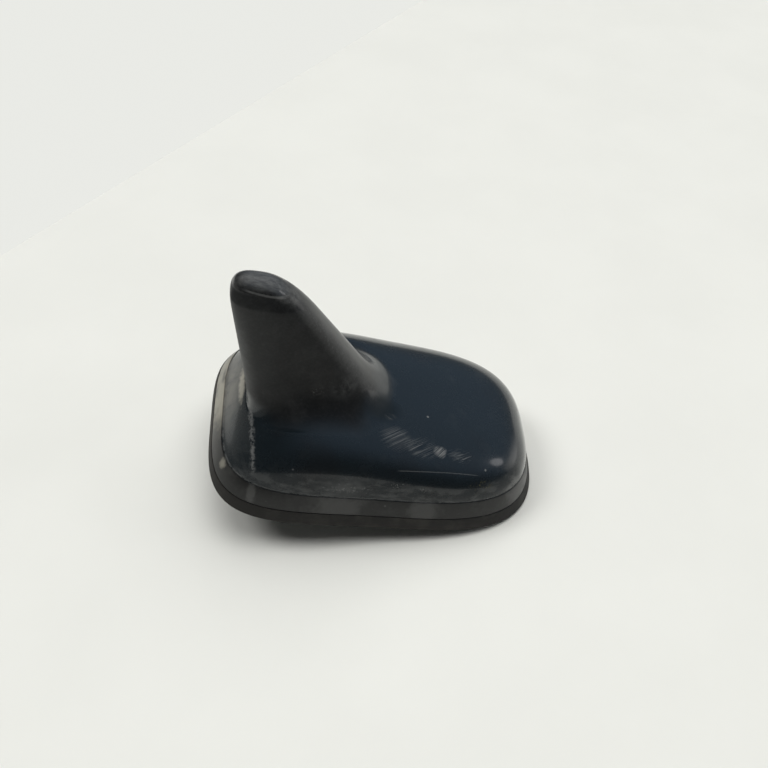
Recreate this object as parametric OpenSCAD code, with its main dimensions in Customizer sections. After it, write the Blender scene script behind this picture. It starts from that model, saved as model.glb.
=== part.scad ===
// Fin-shaped roof antenna: a moulded cover over a circuit board on a cast base
// Origin: stud axis at the roof plane, +X towards the nose, +Z away from the roof

/* [Body outline] */
// Length of the gasket, from nose to tail
body_len = 108; // [100:1:118]
// Width of the gasket at mid length
body_w = 70; // [65:1:78]
// Squareness of the two corners at the tail
tail_corner = 3.8; // [3:0.1:4.5]
// Squareness of the two corners at the nose
nose_corner = 2.85; // [2.5:0.05:3.6]
// Extra fullness of the outline towards both ends
end_fill = 0.1; // [0:0.005:0.14]
// How much the outline narrows towards the nose
nose_taper = 0.02; // [0:0.005:0.05]

/* [Cover dome] */
// Height of the seam between cover and frame above the roof
seam_z = 9; // [8.4:0.1:11]
// Distance of that seam inside the gasket's edge
seam_inset = 4.4; // [3.8:0.1:5]
// How much closer to the edge the walls stay at the tail
tail_shift = 1.2; // [0.6:0.1:1.6]
// Rise of the dome over the seam at the tail
crown_tail = 31.8; // [30:0.2:33]
// Rise of the dome over the seam at mid length
crown_mid = 16.3; // [15.8:0.1:18]
// Rise of the dome over the seam at the nose
crown_nose = 13.1; // [12:0.1:14.5]
// Squareness of the dome's cross section
side_round = 3; // [2.7:0.05:3.3]
// Squareness of the dome's long section towards the nose
nose_round = 3.1; // [2.8:0.05:3.4]
// Squareness of the dome's long section towards the tail
tail_round = 2; // [1.9:0.02:2.3]
// Share of the dome's rounding that is cut off at the seam, which gives its wall draft
wall_draft = 0.3; // [0.2:0.01:0.4]
// Wall of the cover
cover_wall = 2; // [1.6:0.1:2.4]

/* [Fin] */
// Height of the fin's tip above the roof
fin_h = 66; // [62:0.5:72]
// Distance from the tail to the fin's back edge, at the level of the seam
fin_back = 12.2; // [11:0.1:13]
// Rearward lean of the back edge, per mm of height
fin_back_lean = 0.234; // [0.18:0.002:0.25]
// Distance from the tail to the fin's front edge, half way up
fin_front = 38.4; // [36:0.2:42]
// Height at which that front edge is measured
fin_front_z = 40; // [38:0.5:42]
// Rearward lean of the front edge, per mm of height
fin_front_lean = 0.867; // [0.8:0.005:0.92]
// Distance from the tail to the tip
fin_tip = 6.9; // [6:0.1:8]
// Height over which the tip rounds off
tip_h = 13.5; // [11:0.25:15]
// Squareness of that rounding
tip_square = 3.15; // [2.6:0.05:3.6]
// Half thickness of the fin where it leaves the dome
fin_root_half = 10.4; // [9.8:0.1:11.2]
// Half thickness of the fin at its tip, before rounding
fin_tip_half = 5.25; // [4.8:0.05:6]
// Squareness of the fin's cross section
fin_round = 2.7; // [2.3:0.05:3]
// Height of the hollow at the fin's root
root_h = 11; // [8:0.25:12]
// How far that hollow spreads to each side
root_side = 9.2; // [7.6:0.1:10]
// How far it spreads towards the nose
root_front = 4; // [2:0.25:5]
// How far it spreads towards the tail
root_back = 0.6; // [0.2:0.1:1]

/* [Gasket] */
// Height of the rubber lip
gasket_h = 3.3; // [2.9:0.1:3.8]
// How far the top of the lip lies inside its foot
gasket_lean = 1.8; // [1.4:0.1:2.2]
// Width of the lip's top
gasket_land = 4.4; // [4:0.1:4.8]
// Thickness of the rubber sheet inside the lip
web_t = 1.2; // [1:0.1:1.4]
// Radius of the hole for the base's hub
opening_r = 18.8; // [18.7:0.1:21]
// Width of the foot round that hole
foot_w = 2.2; // [1.6:0.1:3]

/* [Frame and seal] */
// Thickness of the ledge that the cover stands over
ledge_t = 1.5; // [1.2:0.1:1.7]
// Distance of the ledge's inner edge inside the gasket's edge
ledge_inset = 10.6; // [10:0.1:11]
// Radius of the frame's screw bosses
boss_r = 3.1; // [2.8:0.1:3.3]
// Distance of the bosses from mid length
boss_x = 30; // [28:0.5:31]
// Distance of the bosses inside the gasket's edge
boss_inset = 12.4; // [12.2:0.1:13]
// Height of the bosses above the base plate
boss_h = 5.8; // [5:0.1:6.2]
// Plastic left over the screws in the bosses
boss_roof = 1; // [0.8:0.1:1.5]
// Thickness of the cover's tongue
tongue_t = 1.4; // [1.1:0.1:1.5]
// Width of the seal cord
seal_w = 1.3; // [1:0.1:1.5]
// Height of the seal cord
seal_h = 1.1; // [0.9:0.1:1.3]
// Rim of the base plate outside the seal's groove
seal_wall = 1; // [0.8:0.1:1.2]

/* [Cast base] */
// Height of the base plate's underside above the roof
base_z = 2; // [1.9:0.1:2.2]
// Thickness of the base plate
base_t = 3; // [2.8:0.1:3.3]
// Radius of the hub round the stud
hub_r = 18.4; // [17:0.1:18.6]
// Radius of the threaded stud
stud_r = 9; // [8.5:0.1:9.4]
// Length of the stud below the roof plane
stud_len = 9; // [8:0.5:20]
// Radius of the lead hole through the stud
bore_r = 6.5; // [6.3:0.05:7]
// Radius of the locating pegs
peg_r = 1.5; // [1.2:0.1:1.8]
// Length of the pegs below the roof plane
peg_len = 2.5; // [2:0.1:4]
// Distance of the pegs and the vent from the stud's axis
peg_place = 15; // [14.4:0.1:15.6]
// Radius of the raised ring round the lead hole
collar_r = 10.5; // [10:0.1:11.5]
// Height of that ring above the base plate
collar_h = 1.5; // [1:0.1:1.7]
// Thickness of the ribs from that ring to the standoffs
rib_t = 1.6; // [1.2:0.1:2]
// Height of the ribs above the base plate
rib_h = 1.2; // [0.8:0.1:1.5]
// Radius of the vent's film
vent_r = 2; // [1.6:0.1:2.4]
// Thickness of the film
vent_t = 0.8; // [0.5:0.1:1]
// Radius of the hole over it
vent_hole_r = 0.8; // [0.5:0.1:1]

/* [Ground contact] */
// Thickness of the toothed contact washer
contact_t = 0.5; // [0.3:0.05:0.7]
// Outer radius of the washer
contact_r = 12.4; // [11.5:0.1:12.8]
// Number of teeth
contact_teeth = 12; // [8:1:16]
// Length of the teeth
tooth_l = 1.7; // [1:0.1:2.2]
// Gap between two teeth
tooth_gap = 1.2; // [0.8:0.1:1.6]

/* [Main board] */
// Height of the board's standoffs above the base plate
standoff_h = 3.5; // [3.2:0.1:4]
// Radius of the standoffs
standoff_r = 2.5; // [2.2:0.1:2.7]
// Thickness of the board
board_t = 1.6; // [1.2:0.1:1.8]
// Length of the small parts beside the can
cap_l = 1.6; // [1.2:0.1:2]
// Distance of the board's edge inside the gasket's edge
board_inset = 11.6; // [11.2:0.1:12]

/* [Satellite patch] */
// Side of the square ceramic patch
patch_w = 25; // [24:0.5:26]
// Thickness of the ceramic patch
patch_t = 4; // [3.5:0.1:4.4]
// Distance from the nose to the middle of the patch
patch_from_nose = 31; // [29.5:0.5:32]
// Side of the silvered face
electrode_w = 20; // [18:0.5:21]
// Thickness of the adhesive pad under the patch
pad_t = 0.3; // [0.2:0.05:0.5]
// Thickness of the silvered face
electrode_t = 0.1; // [0.05:0.05:0.2]
// Radius of the feed pin
feed_r = 0.5; // [0.4:0.05:0.6]
// Distance of the feed pin from the patch's middle
feed_off = 2; // [1.5:0.1:3]

/* [Amplifier screen] */
// Length of the screening can
can_l = 17; // [15:0.5:18]
// Width of the screening can
can_w = 24; // [22:0.5:26]
// Height of the screening can
can_h = 3.6; // [3:0.1:4]
// Thickness of its sheet
can_t = 0.4; // [0.3:0.05:0.5]
// Distance between the can and the patch
can_gap = 4; // [3:0.25:4.5]
// Gap between the lid's foot and the board
lid_gap = 1; // [0.5:0.1:1.5]
// Radius of the holes in the lid
lid_hole_r = 0.9; // [0.6:0.1:1.2]

/* [Fin board] */
// Thickness of the board that stands in the fin
blade_t = 1; // [0.8:0.1:1.2]
// Distance from the fin's tip to the top of that board
blade_drop = 9.5; // [9:0.5:12]
// Gap between that board's edges and the inside of the fin
blade_gap = 1.6; // [1.2:0.1:2.2]
// Distance from the fin's back edge to the board's foot
foot_from_back = 8.5; // [8:0.25:10]
// Gap between the foot's holder and the screening can
holder_gap = 2.8; // [2:0.1:3.5]
// Wall of the holder at its ends
holder_wall = 1.5; // [1:0.1:2]
// Height of the holder
holder_h = 6; // [5:0.25:7]
// Width of the holder
holder_w = 8; // [7:0.25:10]
// Thickness of the copper element
foil_t = 0.15; // [0.1:0.05:0.2]
// Bare margin round the element
foil_margin = 2.5; // [2:0.1:3.5]
// Width of the slits in the element
slit_w = 1.2; // [0.8:0.1:1.6]
// Thickness of the foam block's ends over the board's top edge
foam_end = 2; // [1.5:0.25:3]

/* [Sockets] */
// Radius of one coaxial socket's shell
shell_r = 2.5; // [2.3:0.05:2.6]
// Distance between the two sockets
socket_pitch = 6; // [5.8:0.1:6.2]
// Depth of the lead hole below the socket block
mouth_z = 4; // [3:0.25:5]
// Thickness of a socket's shell at its mouth
shell_t = 0.5; // [0.4:0.05:0.6]
// Depth of that mouth
lip_l = 2.4; // [2:0.1:3]
// Radius of a socket's pin
pin_r = 0.45; // [0.35:0.05:0.5]

/* [Fasteners] */
// Radius of the board screws
board_screw_r = 0.9; // [0.8:0.05:1]
// Radius of the frame screws
frame_screw_r = 1.25; // [1.1:0.05:1.4]

/* [Hidden] */

// Small clearances and rounds, and how far a cutter runs past a face
fit_gap = 0.2;
edge = 0.3;
hair = 0.05;
step = 0.01;
over = 1;
$fn = 48;

// Ring resolution of the lofted shells
ring_n = 80;
dome_rings = 11;
root_rings = 6;
fin_rings = 11;
inner_dome_rings = 6;
inner_root_rings = 4;
inner_fin_rings = 6;

// Levels above the roof plane
base_top = base_z + base_t;
hub_z = contact_t;
ledge_top = base_top + ledge_t;
board_z = base_top + standoff_h;
board_top = board_z + board_t;
patch_z = board_top + pad_t;
patch_top = patch_z + patch_t;
tongue_z = ledge_top + edge;
web_z = base_z - web_t;
block_z = mouth_z - stud_len;
block_top = base_top + collar_h;

// Distances inside the gasket's edge
land_inset = gasket_lean + gasket_land;
base_inset = land_inset + fit_gap;
wall_inset = seam_inset + cover_wall + edge;
tongue_out = wall_inset + fit_gap;
tongue_in = tongue_out + tongue_t;
inner_foot = tongue_in - 4 * fit_gap;
seal_inset = base_inset + seal_wall;

// Round parts of the base and the socket block
shoulder_r = stud_r + edge;
seat_r = bore_r - edge;
flange_w = 2.3;
flange_t = 1;
shell_z = block_z + 2 * fit_gap;
socket_floor = base_z + contact_t;
screw_depth = 1.2;
spring_w = 2;

// Places along the length
nose_x = body_len / 2;
tail_x = -body_len / 2;
patch_x = nose_x - patch_from_nose;
can_x = patch_x - patch_w / 2 - can_l / 2 - can_gap;
blade_foot_x = tail_x + fin_back + foot_from_back;
foot_end = can_x - can_l / 2 - can_t - hair - holder_gap - holder_wall;
foot_l = foot_end - blade_foot_x;

// One end of a squared oval: distance to it along a direction
function oval(c, s, a, b, n) = pow(pow(abs(c) / a, n) + pow(abs(s) / b, n), -1 / n);
function corner(x) = x < 0 ? tail_corner : nose_corner;
function fullness(x) = let (u = 2 * x / body_len) 1 - nose_taper * u + end_fill * u * u;

// Half length of an outline, which leans less at the tail
function reach(x, inset) =
    body_len / 2 - inset + (x < 0 ? tail_shift * min(1, inset / gasket_lean) : 0);

// Outline of the body at a distance inside the gasket's edge
function rim_point(i, inset) =
    let (t = 360 * i / ring_n, c = cos(t), s = sin(t))
    let (r = oval(c, s, reach(c, inset), body_w / 2 - inset, corner(c)))
    [r * c, r * s * fullness(r * c)];
function rim(inset) = [for (i = [0:ring_n - 1]) rim_point(i, inset)];
function rim_ring(inset, z) = [for (p = rim(inset)) [p.x, p.y, z]];
function half_w(x, inset) =
    let (n = corner(x), u = min(abs(x) / reach(x, inset), 1))
    (body_w / 2 - inset) * pow(1 - pow(u, n), 1 / n) * fullness(x);

// Dome surface; off is the distance inside the outer skin
function crown(x) =
    let (u = 2 * x / body_len)
    crown_mid + u * (crown_nose - crown_tail) / 2
    + u * u * ((crown_nose + crown_tail) / 2 - crown_mid);
function fall(u, n) = pow(max(0, 1 - pow(min(abs(u), 1), n)), 1 / n);
function swell(f) =
    let (n = side_round, cut = pow(wall_draft, n) / (1 - pow(wall_draft, n)))
    let (low = pow(cut, 1 / n))
    (pow(pow(f, n) + cut, 1 / n) - low) / (pow(1 + cut, 1 / n) - low);
function dome_z(x, y, off) =
    let (a = reach(x, seam_inset + off), w = max(half_w(x, seam_inset + off), step))
    let (along = fall(x / a, x < 0 ? tail_round : nose_round))
    seam_z + (crown(x) - off) * swell(along * fall(y / w, side_round));

// Fin section at height z, spread towards its root, for a skin that lies off inside
function cap_scale(z, off) =
    let (t = max(0, min(1, (fin_h - off - z) / tip_h)))
    pow(1 - pow(1 - t, tip_square), 1 / tip_square);
function fin_point(i, z, spread, off) =
    let (t = 360 * i / ring_n, k = cap_scale(z, off), tip = tail_x + fin_tip)
    let (lean_back = fin_back_lean * (z - seam_z), lean_front = fin_front_lean * (z - fin_front_z))
    let (back = tail_x + fin_back - lean_back - root_back * spread + off)
    let (front = tail_x + fin_front - lean_front + root_front * spread - off)
    let (b = tip + (back - tip) * k, f = tip + (front - tip) * k)
    let (rise = (z - seam_z - crown_mid) / (fin_h - seam_z - crown_mid))
    let (thick = fin_root_half + (fin_tip_half - fin_root_half) * rise)
    let (half = (thick + root_side * spread - off) * k)
    let (r = oval(cos(t), sin(t), (f - b) / 2, half, fin_round))
    [(b + f) / 2 + r * cos(t), r * sin(t)];

// Where the fin's hollow meets the dome, found by closing in on the height
function root_point(i, off, z, turns) =
    let (p = fin_point(i, z, 1, off))
    let (x = max(p.x, 1 - reach(-1, seam_inset + off)), d = dome_z(x, p.y, off))
    turns == 0 ? [x, p.y, d] : root_point(i, off, (z + d) / 2, turns - 1);
function root_ring(off) =
    [for (i = [0:ring_n - 1]) root_point(i, off, seam_z + crown_mid, 10)];

// Rings of one skin, from just above the seam to the tip
function dome_ring(k, foot, off, root) =
    [for (i = [0:ring_n - 1])
        let (a = rim_point(i, foot))
        let (x = a.x + (root[i].x - a.x) * k, y = a.y + (root[i].y - a.y) * k)
        [x, y, dome_z(x, y, off)]];
function root_round(t, off, root) =
    [for (i = [0:ring_n - 1])
        let (z = root[i].z + root_h * (1 - cos(t)))
        let (p = fin_point(i, z, 1 - sin(t), off)) [p.x, p.y, z]];
function fin_ring(t, off, root) =
    [for (i = [0:ring_n - 1])
        let (z0 = root[i].z + root_h, z = z0 + (fin_h - off - hair - z0) * sin(t))
        let (p = fin_point(i, z, 0, off)) [p.x, p.y, z]];
function skin(off, foot, first, domes, roots, fins) =
    let (root = root_ring(off))
    concat([for (j = [first:domes]) dome_ring(1 - cos(90 * j / domes), foot, off, root)],
           [for (j = [1:roots]) root_round(90 * j / roots, off, root)],
           [for (j = [1:fins]) fin_ring(90 * j / fins, off, root)]);
function backwards(v) = [for (j = [len(v) - 1:-1:0]) v[j]];

// Surface through a stack of rings, with both ends closed
module loft(rings) {
    n = len(rings[0]);
    last = (len(rings) - 1) * n;
    sides = [for (j = [0:len(rings) - 2]) for (i = [0:n - 1])
        let (a = j * n + i, b = j * n + (i + 1) % n) each [[a, a + n, b + n], [a, b + n, b]]];
    ends = [[for (i = [0:n - 1]) i], [for (i = [n - 1:-1:0]) last + i]];
    polyhedron([for (r = rings) each r], concat(ends, sides), convexity = 8);
}

// Surface through a closed loop of rings; the profile holds [inset, z] pairs
module band(profile) {
    rings = [for (p = profile) rim_ring(p[0], p[1])];
    n = ring_n;
    m = len(rings);
    faces = [for (j = [0:m - 1]) for (i = [0:n - 1])
        let (a = j * n + i, b = j * n + (i + 1) % n)
        let (c = ((j + 1) % m) * n + (i + 1) % n, d = ((j + 1) % m) * n + i)
        each [[a, d, c], [a, c, b]]];
    polyhedron([for (r = rings) each r], faces, convexity = 8);
}

// Straight-sided plate with the body's outline
module plate(inset, z0, z1) {
    translate([0, 0, z0]) linear_extrude(z1 - z0) polygon(rim(inset));
}
module rod(r, z0, z1) {
    translate([0, 0, z0]) cylinder(r = r, h = z1 - z0);
}
module at_bosses() {
    for (sx = [-1, 1], sy = [-1, 1])
        translate([sx * boss_x, sy * half_w(sx * boss_x, boss_inset), 0]) children();
}

// Block of a size that stands on a level, centred on a place
module box_on(x, y, z, size) {
    translate([x - size.x / 2, y - size.y / 2, z]) cube(size);
}

// Places of the board's screws: one at the nose, two amidships, two at the tail
board_screw_places = [
    [nose_x - board_inset - 3.4, 0],
    [can_x + can_l / 2 + 3, half_w(0, board_inset) - 3.6],
    [can_x + can_l / 2 + 3, -half_w(0, board_inset) + 3.6],
    [tail_x + board_inset + 3.6, 9.5],
    [tail_x + board_inset + 3.6, -9.5]];
module at_board_screws() {
    for (p = board_screw_places) translate([p.x, p.y, 0]) children();
}

module fin_cover() {
    inner = backwards(skin(cover_wall, inner_foot, 0, inner_dome_rings, inner_root_rings, inner_fin_rings));
    tongue = [
        rim_ring(tongue_in, seam_z + 1),
        rim_ring(tongue_in, tongue_z),
        rim_ring(tongue_out, tongue_z),
        rim_ring(tongue_out, seam_z),
        rim_ring(seam_inset + edge, seam_z),
        rim_ring(seam_inset, seam_z + edge)];
    color([0.03, 0.035, 0.05])
        loft(concat(inner, tongue, skin(0, seam_inset, 1, dome_rings, root_rings, fin_rings)));
}

module skirt_frame() {
    color([0.09, 0.09, 0.09]) difference() {
        union() {
            band([
                [gasket_lean + edge, gasket_h],
                [gasket_lean, gasket_h + edge],
                [seam_inset - edge / 2, seam_z - edge],
                [seam_inset + edge, seam_z],
                [wall_inset, seam_z],
                [wall_inset, ledge_top],
                [ledge_inset, ledge_top],
                [ledge_inset, base_top],
                [land_inset, base_top],
                [land_inset, gasket_h]]);
            at_bosses() rod(boss_r, base_top, base_top + boss_h);
        }
        at_bosses() rod(frame_screw_r + hair, base_top - over, base_top + boss_h - boss_roof);
    }
}

module roof_gasket() {
    color([0.14, 0.13, 0.12]) union() {
        band([
            [edge, 0],
            [0, 2 * edge],
            [gasket_lean - edge / 2, gasket_h - edge],
            [gasket_lean + edge, gasket_h],
            [land_inset, gasket_h],
            [land_inset, 0]]);
        difference() {
            union() {
                plate(gasket_lean + gasket_land / 2, web_z, base_z);
                rod(opening_r + foot_w, 0, web_z + step);
            }
            rod(opening_r, -over, base_z + over);
        }
    }
}

// Turned end of a stud or peg that hangs from the hub, with a chamfered tip
module shank(r, len, c) {
    rod(r, c - len, hub_z + over);
    translate([0, 0, -len]) cylinder(r1 = r - c, r2 = r, h = c);
}

// Groove between the plate's rim and its middle
module seal_groove() {
    difference() {
        plate(seal_inset, base_top - seal_h, base_top + over);
        plate(seal_inset + seal_w + 2 * hair, base_top - seal_h - over, base_top + 2 * over);
    }
}

module base_plate() {
    color([0.62, 0.63, 0.64]) difference() {
        union() {
            plate(base_inset, base_z, base_top);
            rod(hub_r, hub_z, base_z + over);
            rod(shoulder_r, 0, hub_z + over);
            shank(stud_r, stud_len, 0.8);
            for (sx = [-1, 1]) translate([sx * peg_place, 0, 0]) shank(peg_r, peg_len, 0.5);
            rod(collar_r, base_top - over, block_top);
            at_board_screws() rod(standoff_r, base_top - over, board_z);
            for (p = board_screw_places)
                rotate(atan2(p.y, p.x)) translate([collar_r - over, -rib_t / 2, base_top - over])
                    cube([norm(p) - collar_r + over, rib_t, rib_h + over]);
        }
        rod(bore_r, -stud_len - over, block_z);
        rod(seat_r, block_z - over, block_top + over);
        seal_groove();
        at_bosses() {
            rod(frame_screw_r + fit_gap, base_z - over, base_top + over);
            translate([0, 0, base_z]) screw_head(hair);
        }
        at_board_screws() rod(board_screw_r + hair, base_top - screw_depth, board_z + over);
        translate([0, -peg_place, 0]) {
            rod(vent_r + hair, hub_z - over, hub_z + vent_t);
            rod(vent_hole_r, hub_z, base_top + over);
        }
    }
}

module seal_cord() {
    color([0.2, 0.2, 0.2]) difference() {
        plate(seal_inset + hair, base_top - seal_h, base_top);
        plate(seal_inset + hair + seal_w, base_top - seal_h - over, base_top + over);
    }
}

module ground_contact() {
    color([0.75, 0.74, 0.7]) difference() {
        rod(contact_r, 0, hub_z);
        rod(shoulder_r + fit_gap, -over, hub_z + over);
        for (k = [0:contact_teeth - 1]) rotate(360 * k / contact_teeth)
            translate([contact_r - tooth_l, -tooth_gap / 2, -over])
                cube([tooth_l + over, tooth_gap, hub_z + 2 * over]);
    }
}

module vent_disc() {
    color([0.85, 0.85, 0.83]) translate([0, -peg_place, 0]) rod(vent_r, hub_z, hub_z + vent_t);
}

module at_sockets() {
    for (sx = [-1, 1]) translate([sx * socket_pitch / 2, 0, 0]) children();
}

module socket_block() {
    color([0.16, 0.16, 0.17]) difference() {
        union() {
            rod(seat_r - fit_gap / 2, block_z, block_top + step);
            rod(seat_r + flange_w, block_top, block_top + flange_t);
        }
        at_sockets() {
            rod(shell_r, block_z - over, socket_floor);
            rod(pin_r + hair, socket_floor - over, block_top + flange_t + over);
        }
    }
}

// Stepped tube: a wide mouth, then the narrower part that grips the plug
module socket_shells() {
    color([0.82, 0.78, 0.6]) at_sockets() difference() {
        rod(shell_r - hair, shell_z, socket_floor);
        rod(shell_r - shell_t, shell_z - over, shell_z + lip_l);
        rod(shell_r - 1.5 * shell_t, shell_z, socket_floor + over);
    }
}

module socket_pins() {
    color([0.86, 0.7, 0.3]) at_sockets() rod(pin_r, shell_z + lip_l + edge, board_top + pin_r);
}

// Hole for the feed pin through what lies between two levels
module feed_hole(z0, z1) {
    translate([patch_x + feed_off, 0, 0]) rod(feed_r + hair, z0 - over, z1 + over);
}

module main_board() {
    color([0.05, 0.28, 0.16]) difference() {
        plate(board_inset, board_z, board_top);
        at_bosses() rod(boss_r + 1, board_z - over, board_top + over);
        at_board_screws() rod(board_screw_r + 2 * hair, board_z - over, board_top + over);
        at_sockets() rod(pin_r + hair, board_z - over, board_top + over);
        feed_hole(board_z, board_top);
    }
}

// Pan-headed screws with a six-sided drive
module board_screws() {
    head_h = 1.3;
    color([0.7, 0.7, 0.7]) at_board_screws() {
        difference() {
            rod(2.1 * board_screw_r, board_top, board_top + head_h);
            translate([0, 0, board_top + head_h / 2]) cylinder(r = board_screw_r, h = head_h, $fn = 6);
        }
        rod(board_screw_r, base_top - screw_depth + fit_gap, board_top + step);
    }
}

// Countersunk head of a frame screw, grown by grow
module screw_head(grow) {
    cylinder(r1 = 2 * frame_screw_r + grow, r2 = frame_screw_r + grow, h = frame_screw_r);
}
module frame_screws() {
    color([0.6, 0.6, 0.62]) at_bosses() difference() {
        union() {
            translate([0, 0, base_z]) screw_head(0);
            rod(frame_screw_r, base_z + frame_screw_r - step, base_top + boss_h - boss_roof - edge);
        }
        translate([0, 0, base_z - over])
            cylinder(r = 0.8 * frame_screw_r, h = over + 0.6 * frame_screw_r, $fn = 6);
    }
}

module patch_pad() {
    color([0.9, 0.9, 0.88]) difference() {
        box_on(patch_x, 0, board_top, [patch_w - 2, patch_w - 2, pad_t]);
        feed_hole(board_top, patch_z);
    }
}

module gps_patch() {
    c = 0.8;
    w = patch_w / 2;
    color([0.72, 0.62, 0.48]) difference() {
        translate([patch_x, 0, patch_z]) linear_extrude(patch_t)
            polygon([[-w, c - w], [c - w, -w], [w - c, -w], [w, c - w],
                     [w, w - c], [w - c, w], [c - w, w], [-w, w - c]]);
        feed_hole(patch_z, patch_top);
    }
}

// Silvered square with two opposite corners cut off, which turns the wave
module patch_electrode() {
    c = 2.4;
    w = electrode_w / 2;
    color([0.8, 0.8, 0.8]) difference() {
        translate([patch_x, 0, patch_top]) linear_extrude(electrode_t)
            polygon([[c - w, -w], [w, -w], [w, w - c], [w - c, w], [-w, w], [-w, c - w]]);
        feed_hole(patch_top, patch_top);
    }
}

// Pin through patch and board, with a drop of solder on the silvered face
module feed_pin() {
    top = patch_top + electrode_t;
    color([0.85, 0.75, 0.45]) translate([patch_x + feed_off, 0, 0]) {
        rod(feed_r, board_z - 2 * edge, top + step);
        translate([0, 0, top]) cylinder(r1 = 2.6 * feed_r, r2 = 1.6 * feed_r, h = feed_r);
    }
}

module screen_fence() {
    color([0.72, 0.73, 0.74]) difference() {
        box_on(can_x, 0, board_top, [can_l, can_w, can_h - can_t]);
        box_on(can_x, 0, board_top - over, [can_l - 2 * can_t, can_w - 2 * can_t, can_h + 2 * over]);
    }
}

// Pressed lid over the fence, with two rows of holes
module screen_lid() {
    inner = [can_l + 2 * hair, can_w + 2 * hair, can_h - can_t];
    color([0.78, 0.79, 0.8]) difference() {
        box_on(can_x, 0, board_top + lid_gap, inner + [2 * can_t, 2 * can_t, can_t - lid_gap]);
        box_on(can_x, 0, board_top, inner);
        for (sx = [-1, 1], sy = [-1, 0, 1]) translate([can_x + sx * can_l / 4, sy * can_w / 4, 0])
            rod(lid_hole_r, board_top + over, board_top + can_h + over);
    }
}

// Chip under the can; place and size are shares of the can's own
module chip(place, size) {
    can = [can_l, can_w, can_h];
    box_on(can_x + place.x * can_l, place.y * can_w, board_top,
           [size.x * can.x, size.y * can.y, size.z * can.z]);
}
module amplifier_parts() {
    color([0.12, 0.12, 0.13]) {
        chip([0.18, 0.25], [0.24, 0.17, 0.28]);
        chip([0.18, -0.25], [0.18, 0.13, 0.3]);
        chip([-0.24, 0.17], [0.18, 0.21, 0.33]);
        chip([-0.24, -0.21], [0.12, 0.13, 0.22]);
    }
}

// Rows of small parts beside the can
module board_parts() {
    row_y = half_w(0, board_inset) - 2 * boss_r - cap_l;
    color([0.5, 0.42, 0.32]) for (k = [0:3]) {
        x = can_x + (k - 1.5) * can_l / 5;
        box_on(x, row_y, board_top, [cap_l, cap_l / 2, cap_l / 2]);
        if (k > 0) box_on(x, -row_y, board_top, [1.2 * cap_l, 0.7 * cap_l, cap_l / 2]);
    }
}

// Edges of the fin's board, inside the cover's inner skin
blade_top = fin_h - blade_drop;
shoulder_z = seam_z + crown_mid - cover_wall - 2 * blade_gap;
function blade_back(z) =
    tail_x + fin_back - fin_back_lean * (z - seam_z) + cover_wall + blade_gap;
function blade_front(z) =
    tail_x + fin_front - fin_front_lean * (z - fin_front_z) - cover_wall - blade_gap;
module blade_outline() {
    low_z = (shoulder_z + fin_front_z) / 2;
    polygon([
        [blade_foot_x, board_top],
        [foot_end, board_top],
        [foot_end, shoulder_z - blade_gap],
        [blade_front(low_z), shoulder_z + blade_gap],
        [blade_front(low_z), low_z],
        [blade_front(blade_top), blade_top],
        [blade_back(blade_top) + blade_gap, blade_top],
        [blade_back(blade_top), blade_top - 2 * blade_gap],
        [blade_back(shoulder_z), shoulder_z],
        [blade_foot_x, shoulder_z - 2 * blade_gap]]);
}

// Extrusion of an [x, z] outline between two distances from the middle plane
module upright(y0, y1) {
    translate([0, y1, 0]) rotate([90, 0, 0]) linear_extrude(y1 - y0) children();
}

module fin_board() {
    color([0.06, 0.3, 0.18]) upright(-blade_t / 2, blade_t / 2) blade_outline();
}

// Folded copper element: two legs at the foot, then a path turned by slits
module phone_element() {
    x0 = blade_foot_x + foil_margin;
    x1 = foot_end - foil_margin;
    z0 = board_top + holder_h + foil_margin;
    z1 = blade_top - foam_end - foil_margin;
    low = (z1 - z0) / 4;
    pitch = (z1 - z0 - low) / 4;
    back = [for (z = [z0 + low / 2, z1]) [blade_back(z) + foil_margin, z]];
    front = [for (z = [z1, z0 + 1.5 * low]) [blade_front(z) - foil_margin, z]];
    color([0.8, 0.5, 0.3]) difference() {
        upright(-blade_t / 2 - foil_t, -blade_t / 2)
            polygon(concat([[x0, board_top + slit_w], [x0, z0]], back, front,
                           [[x1, z0], [x1, board_top + slit_w]]));
        for (k = [0:3]) {
            z = z0 + low + pitch * k;
            back_end = blade_back(z) + foil_margin;
            front_end = blade_front(z) - foil_margin;
            reach = 0.3 * (front_end - back_end);
            x = k % 2 == 0 ? back_end - over : back_end + reach;
            translate([x, -holder_w, z]) cube([front_end - back_end - reach + over, 2 * holder_w, slit_w]);
        }
        translate([(2 * x0 + x1) / 3, -holder_w, board_top])
            cube([(x1 - x0) / 3, 2 * holder_w, z0 - board_top - slit_w]);
    }
}

// Slotted block round the board's foot, open on the side of the springs
module fin_board_holder() {
    slot = blade_t / 2 + hair;
    mid = (blade_foot_x + foot_end) / 2;
    color([0.1, 0.1, 0.1]) difference() {
        box_on(mid, 0, board_top, [foot_l + 2 * holder_wall, holder_w, holder_h]);
        box_on(mid, 0, board_top - over, [foot_l + 2 * hair, 2 * slot, holder_h + 2 * over]);
        box_on(mid, -slot - holder_w / 2 + step, board_top - over,
               [foot_l - 2 * foil_margin + 2 * edge, holder_w, holder_h + 2 * over]);
    }
}

// Bent strips that press on the two legs of the element
module contact_springs() {
    y0 = -blade_t / 2 - foil_t;
    mid = (blade_foot_x + foot_end) / 2;
    leg_x = foot_l / 3 - foil_margin * 2 / 3;
    color([0.88, 0.78, 0.45])
        for (sx = [-1, 1])
            translate([mid + sx * leg_x - spring_w / 2, 0, 0])
                rotate([90, 0, 90]) linear_extrude(spring_w) translate([y0, board_top])
                    polygon([[0, 0.6 * holder_h], [-edge, 0.65 * holder_h], [-3 * edge, 0.43 * holder_h],
                             [-3 * edge, edge], [-holder_w / 3, edge], [-holder_w / 3, 0],
                             [-2 * edge, 0], [-2 * edge, 0.4 * holder_h]]);
}

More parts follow.
